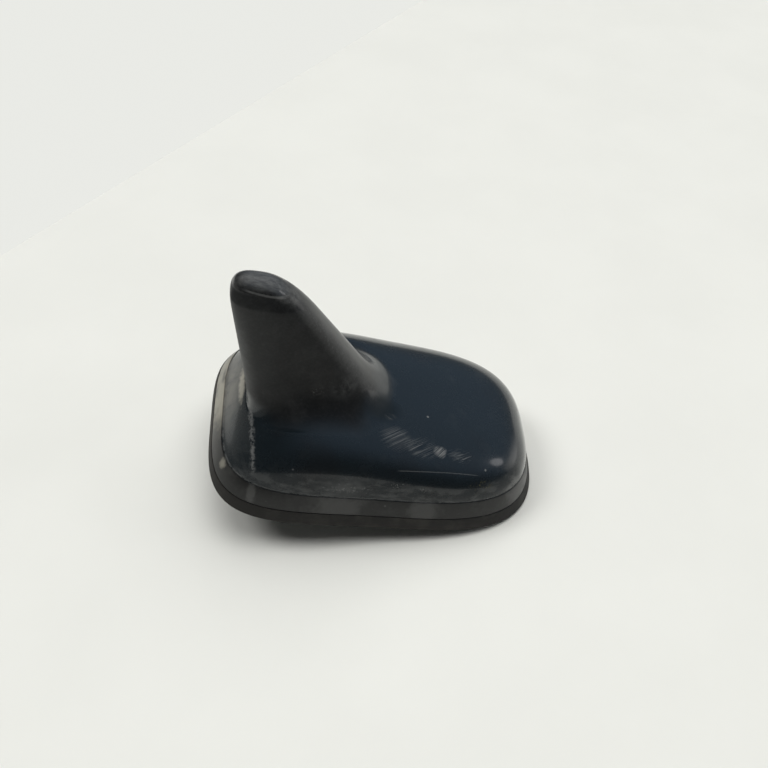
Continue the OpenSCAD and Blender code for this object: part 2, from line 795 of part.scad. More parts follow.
// Foam block that steadies the top of the board inside the fin
module tip_foam() {
    mid = (blade_back(blade_top) + blade_front(blade_top)) / 2;
    color([0.25, 0.25, 0.26]) difference() {
        box_on(mid, 0, blade_top - foam_end - over, [4.5 * foam_end, 3 * foam_end, 2 * foam_end + over]);
        box_on(mid, 0, blade_top - 2 * foam_end, [5 * foam_end, blade_t + 2 * hair, 2 * foam_end]);
    }
}

fin_cover();
skirt_frame();
roof_gasket();
base_plate();
seal_cord();
ground_contact();
vent_disc();
socket_block();
socket_shells();
socket_pins();
main_board();
board_screws();
frame_screws();
patch_pad();
gps_patch();
patch_electrode();
feed_pin();
screen_fence();
screen_lid();
amplifier_parts();
board_parts();
fin_board();
phone_element();
fin_board_holder();
contact_springs();
tip_foam();
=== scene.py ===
import math

import bmesh
import bpy
import numpy as np
from mathutils import Matrix, Vector


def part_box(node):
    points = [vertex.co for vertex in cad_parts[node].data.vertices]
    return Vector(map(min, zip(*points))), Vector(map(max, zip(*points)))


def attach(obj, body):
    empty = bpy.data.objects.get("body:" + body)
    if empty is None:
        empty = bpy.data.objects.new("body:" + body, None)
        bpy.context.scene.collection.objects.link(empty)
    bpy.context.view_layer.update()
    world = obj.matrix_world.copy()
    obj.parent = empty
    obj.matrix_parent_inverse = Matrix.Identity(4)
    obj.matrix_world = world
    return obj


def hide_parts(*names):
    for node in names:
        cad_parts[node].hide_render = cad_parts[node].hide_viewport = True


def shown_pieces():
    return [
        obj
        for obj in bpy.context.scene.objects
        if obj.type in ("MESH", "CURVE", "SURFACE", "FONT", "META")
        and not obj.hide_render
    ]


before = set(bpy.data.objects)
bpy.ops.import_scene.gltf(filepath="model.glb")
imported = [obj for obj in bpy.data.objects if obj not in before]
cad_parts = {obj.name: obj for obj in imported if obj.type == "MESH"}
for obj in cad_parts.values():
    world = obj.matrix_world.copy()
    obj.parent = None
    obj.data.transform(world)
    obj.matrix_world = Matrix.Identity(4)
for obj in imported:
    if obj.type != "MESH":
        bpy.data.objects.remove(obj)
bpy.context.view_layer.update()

# Shapes are worked out in millimetres, and become metres in their meshes
MM = 0.001

# Outline of the foot and the dome, as in the CAD source
BODY_LEN, BODY_W = 108.0, 70.0
TAIL_CORNER, NOSE_CORNER = 3.8, 2.85
END_FILL, NOSE_TAPER = 0.1, 0.02
SEAM_Z, SEAM_INSET = 9.0, 4.4
CROWN_TAIL, CROWN_MID, CROWN_NOSE = 31.8, 16.3, 13.1
SIDE_ROUND, NOSE_ROUND, TAIL_ROUND = 3.0, 3.1, 2.0
WALL_DRAFT, TAIL_SHIFT = 0.3, 1.2
COVER_WALL, THIN = 2.0, 0.01

# Fin, as in the CAD source
FIN_H, FIN_BACK, FIN_BACK_LEAN = 66.0, 12.2, 0.234
FIN_FRONT, FIN_FRONT_Z, FIN_FRONT_LEAN = 38.4, 40.0, 0.867
FIN_TIP, TIP_H, TIP_SQUARE, TIP_OPEN = 6.9, 13.5, 3.15, 0.2
FIN_ROOT_HALF, FIN_TIP_HALF, FIN_ROUND = 10.4, 5.25, 2.7
ROOT_H, ROOT_SIDE, ROOT_FRONT, ROOT_BACK = 11.0, 9.2, 4.0, 0.6

# Frame, gasket and base, as in the CAD source
GASKET_H, GASKET_LEAN, GASKET_LAND, WEB_T = 3.3, 1.8, 4.4, 1.2
OPENING_R, FOOT_W = 18.8, 2.2
BASE_Z, BASE_TOP, LEDGE_TOP, LEDGE_INSET = 2.0, 5.0, 6.5, 10.6
BOSS_R, BOSS_HOLE_R, BOSS_X, BOSS_INSET, BOSS_H, BOSS_ROOF = 3.1, 1.3, 30.0, 12.4, 5.8, 1.0
TONGUE_T, TONGUE_RISE, FIT_GAP, EDGE, HAIR = 1.4, 1.0, 0.2, 0.3, 0.05

# Small radii: the frame's edges and ledge, then the gasket's foot, outer edge, top and inner foot
FRAME_ROUND, LEDGE_ROUND = 0.35, 0.2
FOOT_ROUND, LIP_ROUND, TOP_ROUND, INNER_ROUND = 0.25, 0.2, 0.5, 0.2
FOOT_INSET = 0.1

# Thread on the stud: where its cutter starts and ends, its flanks, and its steps round and per turn
STUD_R, THREAD_PITCH, THREAD_DEPTH, STUD_CHAMFER = 9.0, 1.5, 0.75, 0.8
THREAD_START, THREAD_OVER, CUTTER_WALL, CREST_GAP = 0.2, 0.4, 1.0, 0.02
FLANK_SLOPE, CREST_FLAT = 1.35, 0.2
THREAD_SIDES, THREAD_STEPS, PAST_END = 96, 14, 1.0001
WELD = 0.002

# Points round each shell, and rings over the dome, the fin's root, the fin and its tip
RING_N = 256
ROUND = np.arange(RING_N) * 2 * math.pi / RING_N
OUTER_STEPS, TIP_STEPS = (40, 20, 46), 6
INNER_STEPS = (8, 5, 9)
ARC_STEPS, LIP_STEPS, ROOT_TURNS, BOSS_SIDES = 4, 4, 14, 40
SHARP_ANGLE = 50

# The photograph's viewing angle, in degrees, millimetres and pixels
VIEW_EL, VIEW_AZ, VIEW_ROLL = 48.51, -18.77, 20.195
VIEW_AWAY, VIEW_RIGHT, VIEW_UP = 284.6, -3.238, -17.26
FRAME_PX, FOCAL_PX, SENSOR = 768, 850, 36.0

# The table under the tilted part: its upright, then half its width, its reach to the camera and its
# depth in metres
TABLE_UP = Vector((-0.150, 0.105, 0.983)).normalized()
TABLE_HALF, TABLE_EDGE, TABLE_DEPTH = 4.0, 0.185, 0.41

# Lights: strength, spread in degrees and the direction each stands in
LIGHT_COLOUR = (1.0, 0.985, 0.955)
LIGHTS = {
    "soft_sky": (2.45, 66, (-0.02, 0.42, 1)),
    "soft_side": (1.1, 24, (-1.15, 0.3, 1)),
}

# What the room shows to the camera and to gloss
BACKDROP = (0.82, 0.827, 0.79, 1)
DIM_ROOM, CEILING = (0.045, 0.045, 0.045, 1), (0.27, 0.36, 0.48, 1)
TAIL_WALL, WINDOW = (0.30, 0.30, 0.28, 1), (1.7, 1.7, 1.65, 1)
LAMP, LAMP_TOWARD = (3.4, 3.4, 3.5, 1), (0.782, 0.01, 0.622)

# Numbered sockets of Blender's Mix node for colours
MIX_SHARE, MIX_A, MIX_B, MIX_RESULT = 0, 6, 7, 2

# Share of a spot that is its core, how soft scratches are, and how much their noise changes with height
SPOT_CORE, STROKE_SOFT, STROKE_RISE = 0.35, 0.06, 0.04

# Scratches on top: centre, size, heading in degrees, spacing, threshold, length and strength
SCRATCHES = (
    ((0.3, -17.7, 23.5), (6.5, 4.6, 6), 32, 0.16, 0.55, 14, 1),
    ((9.0, -19.2, 21.8), (6.5, 4, 6), 30, 0.15, 0.55, 14, 1),
    ((14.8, -19.5, 21.1), (2.6, 2.2, 5), 44, 0.15, 0.48, 4, 2.2),
    ((21.5, -19.6, 20.1), (5, 2.6, 5), 22, 0.18, 0.56, 6, 1),
    ((-1.0, -10.9, 25.2), (2.6, 1.5, 3), -38, 0.14, 0.56, 5, 1),
)

# Spots on cover and frame: centre, size, raggedness, grain and strength
BLOOM = (
    ((1.5, -18, 23.5), (5.5, 3.8, 4), 0.9, 1.2, 0.07),
    ((14.8, -19.5, 21.1), (2.0, 1.5, 2), 1.6, 0.6, 0.14),
    ((21, -19.6, 20.1), (3, 1.6, 2), 1.2, 0.8, 0.06),
)
GRITTY_SCUFFS = (
    ((-14, -30.2, 12.9), (10, 4, 2.2), 1.3, 1.0, 0.55),
    ((2.4, -28.9, 14.9), (3.0, 2, 1.0), 1.4, 0.7, 0.9),
    ((11.5, -29.0, 14.0), (2.4, 2, 1.1), 1.4, 0.7, 0.85),
    ((-24.8, -10.0, 32.5), (2.5, 2, 1.8), 1.4, 0.7, 0.3),
)
SCUFF_AND_CHIPS = (
    ((-14, -30.2, 12.6), (9, 5, 5), 0.8, 4, 0.13),
    ((11.4, -8.2, 23.4), (0.5, 0.5, 1), 0.6, 0.4, 0.7),
    ((30.4, -22.2, 17.3), (0.45, 0.45, 1), 0.6, 0.4, 0.8),
    ((-29.7, -27.6, 17.3), (0.4, 0.4, 0.4), 0.6, 0.4, 0.5),
)
FIN_TIP_WEAR = (
    ((-44, -1, 66.5), (11, 5, 3.4), 0.6, 2, 1),
    ((-36.5, -2, 63), (7, 5, 4), 0.6, 2, 0.8),
)
FRAME_PATCHES = (
    ((-14.3, -32.3, 6.1), (12, 6, 9), 1.2, 4, 1),
    ((12.8, -31.2, 7.3), (7, 6, 9), 1.2, 4, 1),
    ((-40.6, -29.8, 6.4), (1.8, 4, 6), 1.1, 2, 1),
    # The last patch, at the frame's nose corner, is a painted reflection
    ((44, -20, 6), (9, 9, 6), 0.9, 3, 1),
)


def oval(c, s, a, b, n):
    """Distance to a squared oval along the direction (c, s)."""
    return (np.abs(c / a) ** n + np.abs(s / b) ** n) ** (-1 / n)


def fullness(x):
    """How much wider the sides bow out at x than a plain squared oval."""
    u = 2 * x / BODY_LEN
    return 1 - NOSE_TAPER * u + END_FILL * u * u


def reach(x, inset):
    """Half length of an outline, which leans less at the tail."""
    shift = TAIL_SHIFT * min(1, inset / GASKET_LEAN)
    return BODY_LEN / 2 - inset + np.where(x < 0, shift, 0)


def rim(inset):
    """Outline of the body at a distance inside the gasket's edge."""
    c, s = np.cos(ROUND), np.sin(ROUND)
    corner = np.where(c < 0, TAIL_CORNER, NOSE_CORNER)
    r = oval(c, s, reach(c, inset), BODY_W / 2 - inset, corner)
    return r * c, r * s * fullness(r * c)


def half_width(x, inset):
    corner = np.where(x < 0, TAIL_CORNER, NOSE_CORNER)
    u = np.minimum(np.abs(x) / reach(x, inset), 1)
    return (BODY_W / 2 - inset) * (1 - u ** corner) ** (1 / corner) * fullness(x)


def crown(x):
    """Height of the dome's ridge over the seam."""
    u = 2 * x / BODY_LEN
    ends = (CROWN_NOSE + CROWN_TAIL) / 2
    return CROWN_MID + u * (CROWN_NOSE - CROWN_TAIL) / 2 + u * u * (ends - CROWN_MID)


def fall(u, n):
    return np.maximum(0, 1 - np.minimum(np.abs(u), 1) ** n) ** (1 / n)


def swell(f):
    """Rounded rise from the seam whose foot is cut off, so that its wall keeps some draft."""
    n, cut = SIDE_ROUND, WALL_DRAFT ** SIDE_ROUND
    cut = cut / (1 - cut)
    low = cut ** (1 / n)
    return ((f ** n + cut) ** (1 / n) - low) / ((1 + cut) ** (1 / n) - low)


def dome_z(x, y, off):
    """Height of the dome's skin that lies off inside the outer one."""
    a = reach(x, SEAM_INSET + off)
    w = np.maximum(half_width(x, SEAM_INSET + off), THIN)
    along = np.where(x < 0, fall(x / a, TAIL_ROUND), fall(x / a, NOSE_ROUND))
    return SEAM_Z + (crown(x) - off) * swell(along * fall(y / w, SIDE_ROUND))


def cap_scale(z, off):
    """How much of its size the fin's section keeps at height z, under the rounded tip."""
    t = np.clip((FIN_H - off - z) / TIP_H, 0, 1)
    return (1 - (1 - t) ** TIP_SQUARE) ** (1 / TIP_SQUARE)


def fin_point(z, spread, off, k):
    """Fin section at height z, spread towards its root and shrunk towards the tip by k."""
    tail = -BODY_LEN / 2
    tip = tail + FIN_TIP
    back = tail + FIN_BACK - FIN_BACK_LEAN * (z - SEAM_Z) - ROOT_BACK * spread + off
    front = tail + FIN_FRONT - FIN_FRONT_LEAN * (z - FIN_FRONT_Z) + ROOT_FRONT * spread - off
    b, f = tip + (back - tip) * k, tip + (front - tip) * k
    rise = (z - SEAM_Z - CROWN_MID) / (FIN_H - SEAM_Z - CROWN_MID)
    half = (FIN_ROOT_HALF + (FIN_TIP_HALF - FIN_ROOT_HALF) * rise + ROOT_SIDE * spread - off) * k
    c, s = np.cos(ROUND), np.sin(ROUND)
    r = oval(c, s, (f - b) / 2, half, FIN_ROUND)
    return (b + f) / 2 + r * c, r * s


def fin_at(z, spread, off):
    return fin_point(z, spread, off, cap_scale(z, off))


def root_ring(off):
    """Where the fin's hollow root meets the dome, found by closing in on the height."""
    tail_end = 1 - reach(-1, SEAM_INSET + off)
    z = np.full(RING_N, SEAM_Z + CROWN_MID)
    for _ in range(ROOT_TURNS):
        x, y = fin_at(z, 1, off)
        x = np.maximum(x, tail_end)
        d = dome_z(x, y, off)
        z = (z + d) / 2
    return x, y, d


def skin(off, foot, first, steps, caps=0):
    """Rings of one skin, from its foot outline to the fin's tip."""
    domes, roots, fins = steps
    rx, ry, rz = root_ring(off)
    ax, ay = rim(foot)
    rings = []
    for j in range(first, domes + 1):
        k = 1 - math.cos(math.pi / 2 * j / domes)
        x, y = ax + (rx - ax) * k, ay + (ry - ay) * k
        rings.append((x, y, dome_z(x, y, off)))
    for j in range(1, roots + 1):
        t = math.pi / 2 * j / roots
        z = rz + ROOT_H * (1 - math.cos(t))
        x, y = fin_at(z, 1 - math.sin(t), off)
        rings.append((x, y, z))
    foot_z = rz + ROOT_H
    top = FIN_H - off - HAIR
    for j in range(1, fins + 1):
        z = foot_z + (top - HAIR - foot_z) * math.sin(math.pi / 2 * j / fins)
        x, y = fin_at(z, 0, off)
        rings.append((x, y, z))
    k_end = float(cap_scale(np.float64(top - HAIR), off))
    for j in range(1, caps + 1):
        k = k_end * (1 - j / (caps + TIP_OPEN))
        x, y = fin_point(top - HAIR, 0, off, k)
        rings.append((x, y, np.full(RING_N, top - HAIR * (k / k_end) ** TIP_SQUARE)))
    return rings


def rim_ring(inset, z):
    x, y = rim(inset)
    return x, y, np.full(RING_N, float(z))


def circle_ring(r, z, cx=0.0, cy=0.0, n=RING_N):
    t = np.arange(n) * 2 * math.pi / n
    return cx + r * np.cos(t), cy + r * np.sin(t), np.full(n, float(z))


def rounded(corners):
    """Closed profile of [inset, z, radius] corners, each rounded by a short arc."""
    points = []
    count = len(corners)
    for i, (u, v, r) in enumerate(corners):
        p = np.array([u, v])
        if r == 0:
            points.append(p)
            continue
        before = np.array(corners[i - 1][:2]) - p
        after = np.array(corners[(i + 1) % count][:2]) - p
        a, b = before / np.linalg.norm(before), after / np.linalg.norm(after)
        angle = math.acos(float(np.clip(a @ b, -1, 1)))
        run = r / math.tan(angle / 2)
        middle = p + (a + b) / np.linalg.norm(a + b) * r / math.sin(angle / 2)
        start, end = p + a * run - middle, p + b * run - middle
        sweep = math.pi - angle
        for j in range(ARC_STEPS + 1):
            w = sweep * j / ARC_STEPS
            turn = (math.sin(sweep - w) * start + math.sin(w) * end) / math.sin(sweep)
            points.append(middle + turn)
    return points


class Shell:
    """Gathers vertices and faces in millimetres."""

    def __init__(self):
        self.points, self.faces, self.count = [], [], 0

    def add(self, rings):
        n = len(rings[0][0])
        start = self.count
        for ring in rings:
            self.points.append(np.column_stack(ring))
            self.count += n
        return start, n

    def stack(self, rings):
        """Rings joined one to the next, with both ends closed."""
        start, n = self.add(rings)
        end = start + (len(rings) - 1) * n
        for ring in range(start, end, n):
            self.join(ring, ring + n, n)
        self.faces.append(list(range(start, start + n))[::-1])
        self.faces.append(list(range(end, end + n)))

    def loop(self, rings):
        """Rings joined one to the next and the last to the first."""
        start, n = self.add(rings)
        for j in range(len(rings)):
            self.join(start + j * n, start + (j + 1) % len(rings) * n, n)

    def join(self, a, b, n):
        for i in range(n):
            k = (i + 1) % n
            self.faces.append([a + i, a + k, b + k, b + i])

    def mesh(self, name):
        made = bpy.data.meshes.new(name)
        made.from_pydata((np.concatenate(self.points) * MM).tolist(), [], self.faces)
        return made

    def piece(self, name, node, slot):
        mesh = self.mesh(name)
        mesh.validate()
        return settle(put(name, mesh), node)


def put(name, data):
    """A new object in the scene."""
    made = bpy.data.objects.new(name, data)
    bpy.context.scene.collection.objects.link(made)
    return made


def face_outward(mesh):
    work = bmesh.new()
    work.from_mesh(mesh)
    bmesh.ops.recalc_face_normals(work, faces=work.faces)
    work.to_mesh(mesh)
    work.free()


def settle(made, node):
    """Outward faces and smooth shading; the piece rides and stands for its node."""
    face_outward(made.data)
    made.data.shade_smooth()
    made.data.set_sharp_from_angle(angle=math.radians(SHARP_ANGLE))
    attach(made, "root")
    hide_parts(node)
    return made


def build_cover():
    """Dome and fin in one skin, its hollow inside, and the tongue round its foot."""
    tongue_out = SEAM_INSET + COVER_WALL + EDGE + FIT_GAP
    tongue_in = tongue_out + TONGUE_T
    tongue_z = LEDGE_TOP + EDGE
    tongue = [(tongue_in, SEAM_Z + TONGUE_RISE), (tongue_in, tongue_z),
              (tongue_out, tongue_z), (tongue_out, SEAM_Z)]
    lip = []
    for j in range(LIP_STEPS + 1):
        t = math.pi / 2 * j / LIP_STEPS
        lip.append((SEAM_INSET + EDGE * (1 - math.sin(t)), SEAM_Z + EDGE * (1 - math.cos(t))))
    inner = skin(COVER_WALL, tongue_in - 4 * FIT_GAP, 0, INNER_STEPS)[::-1]
    low = [rim_ring(inset, z) for inset, z in tongue + lip]
    outer = skin(0, SEAM_INSET, 1, OUTER_STEPS, TIP_STEPS)
    shell = Shell()
    shell.stack(inner + low + outer)
    return shell.piece("painted_cover", "fin_cover", "cover_paint")


def build_frame():
    """The frame between the two seams, with a ledge for the cover and four screw bosses."""
    wall = SEAM_INSET + COVER_WALL + EDGE
    land = GASKET_LEAN + GASKET_LAND
    profile = rounded([
        (GASKET_LEAN, GASKET_H, FRAME_ROUND), (SEAM_INSET - EDGE / 2, SEAM_Z, FRAME_ROUND),
        (wall, SEAM_Z, 0), (wall, LEDGE_TOP, 0), (LEDGE_INSET, LEDGE_TOP, LEDGE_ROUND),
        (LEDGE_INSET, BASE_TOP, LEDGE_ROUND), (land, BASE_TOP, 0), (land, GASKET_H, 0)])
    shell = Shell()
    shell.loop([rim_ring(inset, z) for inset, z in profile])
    top = BASE_TOP + BOSS_H
    boss = ((BOSS_HOLE_R, top - BOSS_ROOF), (BOSS_HOLE_R, BASE_TOP),
            (BOSS_R, BASE_TOP), (BOSS_R, top - EDGE), (BOSS_R - EDGE, top))
    for x in (BOSS_X, -BOSS_X):
        side = float(half_width(np.float64(x), BOSS_INSET))
        for y in (side, -side):
            shell.stack([circle_ring(r, z, x, y, BOSS_SIDES) for r, z in boss])
    return shell.piece("skirt_ring", "skirt_frame", "frame_plastic")


def build_gasket():
    """The gasket's lip, and its sheet with a foot round the opening."""
    land = GASKET_LEAN + GASKET_LAND
    lip = rounded([
        (FOOT_INSET, 0, FOOT_ROUND), (0, EDGE, LIP_ROUND), (GASKET_LEAN, GASKET_H, TOP_ROUND),
        (land, GASKET_H, 0), (land, 0, INNER_ROUND)])
    shell = Shell()
    shell.loop([rim_ring(inset, z) for inset, z in lip])
    web_z = BASE_Z - WEB_T
    middle = GASKET_LEAN + GASKET_LAND / 2
    shell.loop([circle_ring(OPENING_R, BASE_Z), rim_ring(middle, BASE_Z), rim_ring(middle, web_z),
                circle_ring(OPENING_R + FOOT_W, web_z), circle_ring(OPENING_R + FOOT_W, 0),
                circle_ring(OPENING_R, 0)])
    return shell.piece("rubber_gasket", "roof_gasket", "gasket_rubber")


def thread_cutter(stud_len):
    """A sleeve round the stud whose inner wall has the shape of the thread."""
    t = np.arange(THREAD_SIDES) * 2 * math.pi / THREAD_SIDES
    step = 1 / (stud_len / THREAD_PITCH * THREAD_STEPS)
    height = np.arange(0, PAST_END, step) * (stud_len + THREAD_OVER)
    outer = STUD_R + CUTTER_WALL
    rings = [circle_ring(outer, -THREAD_START, n=THREAD_SIDES)]
    for h in height:
        phase = (h / THREAD_PITCH + t / (2 * math.pi)) % 1
        flank = np.clip(np.abs(phase * 2 - 1) * FLANK_SLOPE - CREST_FLAT, 0, 1)
        fade = min(1, max(0, (h - THREAD_START) / THREAD_PITCH))
        r = STUD_R - THREAD_DEPTH * flank * fade
        r = np.minimum(r, STUD_R + CREST_GAP - max(0, h - stud_len + STUD_CHAMFER))
        rings.append((r * np.cos(t), r * np.sin(t), np.full(THREAD_SIDES, -THREAD_START - h)))
    rings.append(circle_ring(outer, -THREAD_START - height[-1], n=THREAD_SIDES))
    shell = Shell()
    shell.loop(rings)
    cutter = put("thread_cutter", shell.mesh("thread_cutter"))
    face_outward(cutter.data)
    return cutter


def build_base():
    """The cast base with a real thread cut into its stud."""
    made = put("cast_base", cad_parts["base_plate"].data.copy())
    weld = bmesh.new()
    weld.from_mesh(made.data)
    bmesh.ops.remove_doubles(weld, verts=weld.verts, dist=WELD * MM)
    weld.to_mesh(made.data)
    weld.free()
    cutter = thread_cutter(-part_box("base_plate")[0].z / MM)
    cut = made.modifiers.new("thread", "BOOLEAN")
    cut.operation = "DIFFERENCE"
    cut.solver = "EXACT"
    cut.object = cutter
    bpy.context.view_layer.update()
    done = bpy.data.meshes.new_from_object(made.evaluated_get(bpy.context.evaluated_depsgraph_get()))
    made.modifiers.clear()
    made.data = done
    bpy.data.objects.remove(cutter)
    return settle(made, "base_plate")


class Value:
    """A shader socket that can be used in arithmetic; numbers become Math inputs."""

    def __init__(self, nodes, socket):
        self.nodes, self.socket = nodes, socket

    def math(self, operation, *others, clamp=False):
        values = dict(enumerate((self,) + others))
        return self.nodes.node("ShaderNodeMath", values, operation=operation, use_clamp=clamp)[0]

    def __add__(self, other):
        return self.math("ADD", other)

    def __radd__(self, other):
        return self.math("ADD", other)

    def __sub__(self, other):
        return self.math("SUBTRACT", other)

    def __rsub__(self, other):
        return self.nodes.node("ShaderNodeMath", {0: other, 1: self}, operation="SUBTRACT")[0]

    def __mul__(self, other):
        return self.math("MULTIPLY", other)

    def __rmul__(self, other):
        return self.math("MULTIPLY", other)

    def size(self):
        """The value without its sign."""
        return self.math("ABSOLUTE")

    def clamp(self):
        return self.math("ADD", 0.0, clamp=True)

    def over(self, low, high):
        """0 below low, 1 above high, smooth between."""
        values = {"Value": self, "From Min": low, "From Max": high}
        return self.nodes.node("ShaderNodeMapRange", values, interpolation_type="SMOOTHSTEP")["Result"]

    def under(self, low, high):
        """1 below low, 0 above high, smooth between."""
        return 1 - self.over(low, high)


class Outputs:
    """Output sockets of a made node, by name or number."""

    def __init__(self, nodes, made):
        self.nodes, self.made = nodes, made

    def __getitem__(self, key):
        return Value(self.nodes, self.made.outputs[key])


class Nodes:
    """Makes the nodes of one tree."""

    def __init__(self, tree):
        self.tree = tree

    def node(self, kind, values, **settings):
        made = self.tree.nodes.new(kind)
        for key, value in settings.items():
            setattr(made, key, value)
        for key, value in values.items():
            if isinstance(value, Value):
                self.tree.links.new(value.socket, made.inputs[key])
            else:
                made.inputs[key].default_value = value
        return Outputs(self, made)

    def vector(self, operation, *values):
        """A Vector Math node on the given values."""
        return self.node("ShaderNodeVectorMath", dict(enumerate(values)), operation=operation)

    def mix(self, share, a, b):
        """Colour that goes from a to b."""
        values = {MIX_SHARE: share, MIX_A: a, MIX_B: b}
        return self.node("ShaderNodeMix", values, data_type="RGBA")[MIX_RESULT]


class Paint(Nodes):
    """One material's nodes. Its place sockets are millimetres in the object's frame."""

    SOCKETS = {"colour": "Base Color", "rough": "Roughness", "metal": "Metallic", "normal": "Normal",
               "coat": "Coat Weight", "coat_rough": "Coat Roughness", "ior": "IOR",
               "specular": "Specular IOR Level"}

    def __init__(self, name):
        self.material = bpy.data.materials.new(name)
        self.material.use_nodes = True
        super().__init__(self.material.node_tree)
        self.shader = self.tree.nodes["Principled BSDF"]
        place = self.node("ShaderNodeTexCoord", {})["Object"]
        self.mm = self.vector("MULTIPLY", place, (1 / MM,) * 3)["Vector"]
        parts = self.node("ShaderNodeSeparateXYZ", {"Vector": self.mm})
        self.x, self.y, self.z = parts["X"], parts["Y"], parts["Z"]

    def noise(self, size, detail=3.0, rough=0.55, place=None, stretch=None):
        """Noise with features of about size millimetres, roughly 0.3 to 0.7."""
        place = place or self.mm
        if stretch:
            place = self.vector("MULTIPLY", place, stretch)["Vector"]
        values = {"Vector": place, "Scale": 1 / size, "Detail": detail, "Roughness": rough}
        return self.node("ShaderNodeTexNoise", values, noise_dimensions="3D")["Fac"]

    def blob(self, centre, size, ragged=0.0, grain=2.0):
        """1 at a centre, falling to 0 at size millimetres, with a ragged edge."""
        away = self.vector("SUBTRACT", self.mm, centre)["Vector"]
        away = self.vector("MULTIPLY", away, [1 / s for s in size])["Vector"]
        far = self.vector("LENGTH", away)["Value"]
        if ragged:
            far = far + (self.noise(grain) - 0.5) * ragged
        return far.under(SPOT_CORE, 1.0)

    def spots(self, rows):
        """Sum of blobs, each with its strength."""
        return sum(self.blob(centre, size, ragged, grain) * strength
                   for centre, size, ragged, grain, strength in rows)

    def strokes(self, centre, size, heading, spacing, threshold, length):
        """Fine parallel scratches in the plane seen from above, inside a soft spot."""
        values = {"Vector": self.mm, "Angle": -math.radians(heading)}
        slant = self.node("ShaderNodeVectorRotate", values, rotation_type="Z_AXIS")["Vector"]
        lines = self.noise(1.0, 1.0, 0.5, slant, (1 / length, 1 / spacing, STROKE_RISE))
        lines = lines.over(threshold, threshold + STROKE_SOFT)
        return lines * self.blob(centre, size, 0.6, 3.0)

    def bump(self, height, distance, strength, normal=None):
        values = {"Height": height, "Distance": distance * MM, "Strength": strength}
        if normal:
            values["Normal"] = normal
        return self.node("ShaderNodeBump", values)["Normal"]

    def set(self, **values):
        for key, value in values.items():
            socket = self.shader.inputs[self.SOCKETS[key]]
            if isinstance(value, Value):
                self.tree.links.new(value.socket, socket)
            else:
                socket.default_value = value
        return self.material


